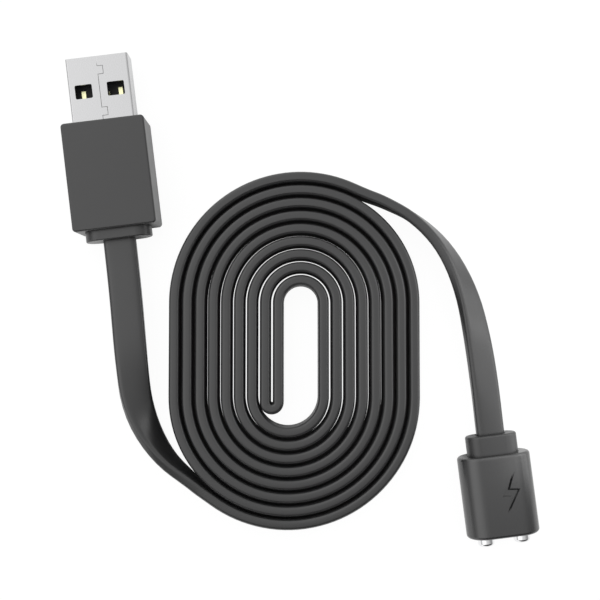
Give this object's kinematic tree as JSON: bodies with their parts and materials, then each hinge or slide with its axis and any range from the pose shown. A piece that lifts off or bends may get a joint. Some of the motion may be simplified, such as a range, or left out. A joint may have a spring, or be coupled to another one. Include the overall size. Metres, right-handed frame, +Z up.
{
  "type": "magnetic charging cable",
  "caption": "Flat charging cable wound on edge into an oval coil, with a rectangular plug at one end and an oval magnetic head with contact studs at the other.",
  "frame": {"origin": "on the table, under the middle of the box around the plug and the head", "axes": "+Z up from the table, +Y the way that the plug goes into its socket"},
  "size_m": [0.0812, 0.1026, 0.008],
  "materials": {
    "shell_steel": "pale satin nickel plate",
    "tongue_plastic": "black moulded plastic",
    "contact_gilt": "thin gilt plate",
    "mould_plastic": "natural moulded plastic",
    "hood_plastic": "dark grey, fine satin",
    "relief_rubber": "dark grey, satin",
    "head_plastic": "dark grey, fine satin",
    "carrier_plastic": "darker grey plastic",
    "stud_nickel": "bright nickel plate",
    "tab_tin": "tinned sheet",
    "wire_red": "red insulation",
    "wire_black": "black insulation",
    "cord_jacket": "dark grey, satin"
  },
  "bodies": {
    "root": {"plug_shell": "shell_steel", "plug_tongue": "tongue_plastic", "plug_contact_1": "contact_gilt", "plug_contact_2": "contact_gilt", "plug_contact_3": "contact_gilt", "plug_contact_4": "contact_gilt", "plug_inner_mould": "mould_plastic", "plug_hood": "hood_plastic", "plug_strain_relief": "relief_rubber", "head_strain_relief": "relief_rubber", "head_body": "head_plastic", "head_contact_carrier": "carrier_plastic", "head_stud_left": "stud_nickel", "head_stud_right": "stud_nickel", "head_tab_left": "tab_tin", "head_tab_right": "tab_tin", "plug_wire_red": "wire_red", "head_wire_red": "wire_red", "plug_wire_black": "wire_black", "head_wire_black": "wire_black", "cord_coil": "cord_jacket", "cord_plug_lead": "cord_jacket", "cord_head_lead": "cord_jacket"}
  },
  "joints": []
}
